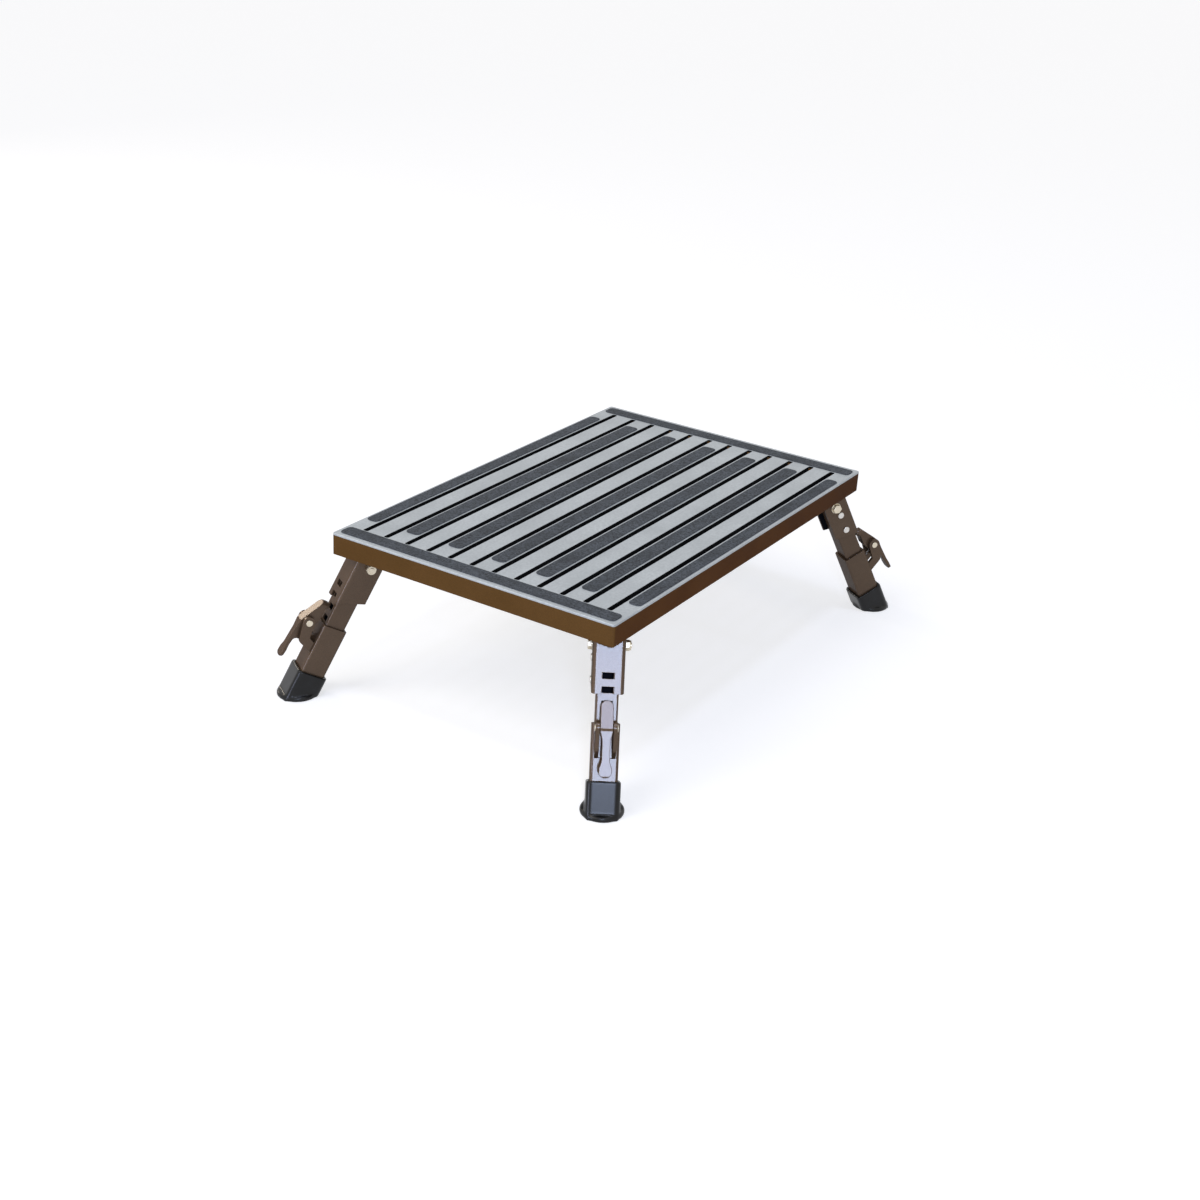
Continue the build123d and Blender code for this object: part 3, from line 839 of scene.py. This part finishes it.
@dataclass
class Leg:
    """One telescopic leg: channel, tubes, rivets, boot, squeeze lever and its spring."""

    shop: Workshop
    corner: Corner
    spring: LeverSpring
    channel_rounding: Rounding = Rounding(0.4, bend_mm=1.5)
    tube_rounding: Rounding = Rounding(0.35, bend_mm=1.3)
    bracket_rounding: Rounding = Rounding(0.4)
    lever_rounding: Rounding = Rounding(0.6)
    pin_rounding: Rounding = Rounding(0.3)
    rivet_rounding: Rounding = Rounding(0.35)
    boot_moulding: Moulding = Moulding()
    hollow: tuple[str, ...] = ("leg_channel", "inner_tube", "lower_tube")
    pin_reach_mm: float = 32.5
    inward: float = -0.5

    def paint_bore_shade(self, piece: bpy.types.Object) -> None:
        """Gives the faces that look in towards the leg's middle line a near-black finish: painted shade
        inside the channel and tubes.

        Args:
            piece: A channel or tube, dressed.
        """
        into_pin = self.pin_frame().inverted()
        turn = into_pin.to_3x3()
        reach = Vector((self.pin_reach_mm * MM, 0, 0))

        def in_bore(face: bpy.types.MeshPolygon) -> bool:
            """Whether a face looks in towards the leg's middle line."""
            spoke = into_pin @ face.center + reach
            spoke.z = 0
            return (turn @ face.normal).dot(spoke.normalized()) < self.inward

        # painted shade: inward-looking faces of the channel and tubes become near-black
        self.shop.add_finish(piece, "painted_shade_bore", in_bore)

    def pin_frame(self) -> Matrix:
        """The lever pin's frame, read from the leg's joints."""
        squeeze = self.shop.joint(f"squeeze_{self.corner.value}")
        up = -Vector(self.shop.joint(f"slide_{self.corner.value}")["axis"])
        side = Vector(squeeze["axis"])
        place = Matrix((side.cross(up), side, up)).transposed().to_4x4()
        place.translation = Vector(squeeze["pos_m"])
        return place

    def build(self) -> None:
        """Builds and dresses every piece of the leg."""
        end = self.corner.value
        paint = "umber_bronze_paint"
        painted = {
            "leg_channel": self.channel_rounding,
            "inner_tube": self.tube_rounding,
            "lower_tube": self.tube_rounding,
            "lever_bracket": self.bracket_rounding,
            "lever": self.lever_rounding,
        }
        for piece, rounding in painted.items():
            made = self.shop.round_off(f"{piece}_{end}", rounding, paint, Slot.BROWN_PAINT)
            if piece in self.hollow:
                # the insides of the channel and tubes get painted shade
                self.paint_bore_shade(made)
        self.shop.round_off(f"foot_{end}", self.boot_moulding, BootRubber.name, Slot.FOOT_RUBBER)
        self.shop.round_off(f"leg_rivets_{end}", self.rivet_rounding, "rivet_aluminium", Slot.RIVET_METAL)
        self.shop.round_off(f"lever_pin_{end}", self.pin_rounding, "zinc_plated_steel", Slot.ZINC_STEEL)
        self.wind_spring()

    def wind_spring(self) -> None:
        """Puts the spring on its pin: one end rests on the tube, and the other reaches to the lever."""
        end = self.corner.value
        place = self.pin_frame()
        coil = self.spring.build(f"lever_spring_{end}_wound", place)
        self.shop.dress(coil, "spring_steel", Slot.ZINC_STEEL, f"lever_spring_{end}")
        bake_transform(coil)


# Stage, light and camera


def background_ray(tree: Tree) -> Socket:
    """Adds the test for rays that meet a white background: from the camera, a mirror or glass.

    Args:
        tree: The material's or world's node tree.

    Returns:
        One for such a ray, and zero for any other.
    """
    path = add_node(tree, "ShaderNodeLightPath")
    seen = path.outputs["Is Camera Ray"]
    for kind in ("Is Glossy Ray", "Is Transmission Ray"):
        either = add_node(tree, "ShaderNodeMath", {0: seen, 1: path.outputs[kind]}, operation="MAXIMUM")
        seen = either.outputs["Value"]
    return seen


@dataclass(frozen=True)
class StudioFloor(Finish):
    """A pale matt floor: bright where a camera or a mirror sees it, and plain paint for other light."""

    name: str = "pale_matt_floor"
    paint: str = "#BCBCBC"
    lift: float = 0.65
    roughness: float = 0.9
    gloss: float = 0.1

    def surface(self, tree: Tree, place: Socket) -> Socket:
        """Adds a matt floor, lifted towards white where it is seen."""
        lifted = add_node(
            tree, "ShaderNodeMath", {0: background_ray(tree), 1: self.lift}, operation="MULTIPLY"
        )
        shader = add_node(
            tree,
            "ShaderNodeBsdfPrincipled",
            {
                "Base Color": linear(self.paint),
                "Roughness": self.roughness,
                "Specular IOR Level": self.gloss,
                "Emission Color": linear(WHITE),
                "Emission Strength": lifted.outputs["Value"],
            },
        )
        return shader.outputs["BSDF"]


@dataclass(frozen=True)
class Softbox:
    """A rectangular lamp aimed at a point; its brightness is what a white card there would show."""

    name: str
    place: tuple[float, float, float]
    target: tuple[float, float, float]
    size: tuple[float, float]
    brightness: float
    colour: str

    def build(self) -> None:
        """Adds the lamp."""
        lamp = bpy.data.lights.new(self.name, "AREA")
        lamp.shape = "RECTANGLE"
        lamp.size, lamp.size_y = self.size
        aim = Vector(self.target) - Vector(self.place)
        lamp.energy = self.brightness * math.pi**2 * aim.length_squared
        lamp.color = linear(self.colour)[:3]
        holder = bpy.data.objects.new(self.name, lamp)
        holder.location = self.place
        holder.rotation_euler = aim.to_track_quat("-Z", "Y").to_euler()
        holder.visible_camera = False
        bpy.context.scene.collection.objects.link(holder)


@dataclass(frozen=True)
class KeySun:
    """A broad distant lamp; its brightness is what a white card facing it would show."""

    towards: tuple[float, float, float] = (-0.62, 0.4, 1.0)
    spread_deg: float = 34.0
    brightness: float = 0.34
    colour: str = "#FFFAF2"

    def build(self) -> None:
        """Adds the lamp."""
        lamp = bpy.data.lights.new("key_sun", "SUN")
        lamp.angle = math.radians(self.spread_deg)
        lamp.energy = self.brightness * math.pi
        lamp.color = linear(self.colour)[:3]
        holder = bpy.data.objects.new("key_sun", lamp)
        holder.rotation_euler = Vector(self.towards).to_track_quat("Z", "Y").to_euler()
        bpy.context.scene.collection.objects.link(holder)


@dataclass(frozen=True)
class Studio:
    """The pale floor, the white surround and the lamps."""

    floor_size: float = 60.0
    floor_drop_mm: float = 0.2
    sky: str = "#EEF2FF"
    sky_strength: float = 0.32
    key: KeySun = KeySun()
    lamps: tuple[Softbox, ...] = (
        Softbox("overhead", (-0.45, -0.47, 3.1), (-0.36, -0.28, 0.1), (0.4, 0.4), 0.18, "#D3DDFF"),
        Softbox("sky_front", (-2.58, -1.85, 1.55), (-0.31, -0.2, 0.1), (0.3, 0.8), 0.34, "#CBDCFF"),
        Softbox("warm_back", (0.32, 2.98, 1.23), (-0.36, 0.28, 0.12), (0.5, 0.5), 0.2, "#FFF0DC"),
        Softbox("left_tall", (-3.1, 0.85, 0.6), (-0.36, 0.25, 0.1), (0.5, 0.6), 0.24, "#D6DEFF"),
    )

    def build(self) -> None:
        """Builds the floor, the surround and the lamps."""
        bm = bmesh.new()
        bmesh.ops.create_grid(bm, x_segments=1, y_segments=1, size=self.floor_size / 2)
        bmesh.ops.translate(bm, verts=bm.verts, vec=(0, 0, -self.floor_drop_mm * MM))
        floor = finished(bm, "studio_floor")
        floor.data.materials.append(StudioFloor().material())
        self.surround()
        self.key.build()
        for lamp in self.lamps:
            lamp.build()

    def surround(self) -> None:
        """Lights the object softly from all round, and looks white to the camera and in reflections."""
        world = bpy.data.worlds.new("white_surround")
        world.use_nodes = True
        tree = world.node_tree
        tree.nodes.clear()
        light = add_node(
            tree, "ShaderNodeBackground", {"Color": linear(self.sky), "Strength": self.sky_strength}
        )
        white = add_node(tree, "ShaderNodeBackground", {"Color": linear(WHITE), "Strength": 1.0})
        mixed = add_node(
            tree,
            "ShaderNodeMixShader",
            {0: background_ray(tree), 1: light.outputs["Background"], 2: white.outputs["Background"]},
        )
        add_node(tree, "ShaderNodeOutputWorld", {"Surface": mixed.outputs["Shader"]})
        bpy.context.scene.world = world


@dataclass(frozen=True)
class PhotoCamera:
    """The photograph's camera, as the deck's corners and the feet place it."""

    eye_mm: tuple[float, float, float] = (-1796.4, -1088.7, 1039.9)
    azimuth_deg: float = 31.44
    elevation_deg: float = 24.89
    roll_deg: float = 3.48
    lens_mm: float = 53.96
    sensor_mm: float = 36.0
    clip_mm: float = 10.0

    def build(self) -> None:
        """Adds the camera and makes it the scene's own."""
        azimuth, elevation, roll = (
            math.radians(angle) for angle in (self.azimuth_deg, self.elevation_deg, self.roll_deg)
        )
        flat = Vector((-math.cos(azimuth), -math.sin(azimuth), 0))
        back = flat * math.cos(elevation) + Vector((0, 0, math.sin(elevation)))
        level = Vector((math.sin(azimuth), -math.cos(azimuth), 0))
        rise = back.cross(level)
        right = level * math.cos(roll) + rise * math.sin(roll)
        up = rise * math.cos(roll) - level * math.sin(roll)
        data = bpy.data.cameras.new("photo_camera")
        data.sensor_width = self.sensor_mm
        data.lens = self.lens_mm
        data.clip_start = self.clip_mm * MM
        camera = bpy.data.objects.new("photo_camera", data)
        place = Matrix((right, up, back)).transposed().to_4x4()
        place.translation = Vector(self.eye_mm) * MM
        camera.matrix_world = place
        bpy.context.scene.collection.objects.link(camera)
        bpy.context.scene.camera = camera


def main() -> None:
    """Builds the sub-assemblies in order, then the stage and the camera."""
    logging.basicConfig(level=logging.INFO, format="%(name)s: %(message)s")
    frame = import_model()
    finishes = (
        BronzePaint(
            "ochre_bronze_paint",
            light="#624626",
            dark="#523A1C",
            edge="#6B4A22",
            metallic=0.85,
            lacquer=0.03,
        ),
        BronzePaint("umber_bronze_paint", light="#62503F", dark="#524132", edge="#6B5644"),
        SilverTread(),
        # painted shade for the walls inside the tread's slots
        SlotShade(),
        GritTape(),
        BootRubber(),
        PlainMetal("zinc_plated_steel", light="#DED5C2", dark="#BFB49E", roughness=(0.3, 0.5)),
        PlainMetal("rivet_aluminium", light="#DCDAD6", dark="#BDB8B0"),
        PlainMetal("spring_steel", light="#8C8C8E", dark="#5F6064"),
        # near-black painted shade for the insides of the channel and tubes
        PlainMetal("painted_shade_bore", light="#1E2026", dark="#121318", roughness=(0.55, 0.7)),
    )
    shop = Workshop(frame, {finish.name: finish.material() for finish in finishes})
    Deck(shop).build()
    spring = LeverSpring()
    for corner in Corner:
        Leg(shop, corner, spring).build()
    Studio().build()
    PhotoCamera().build()
    bpy.context.scene.view_settings.view_transform = "Standard"


if __name__ == "__main__":
    main()
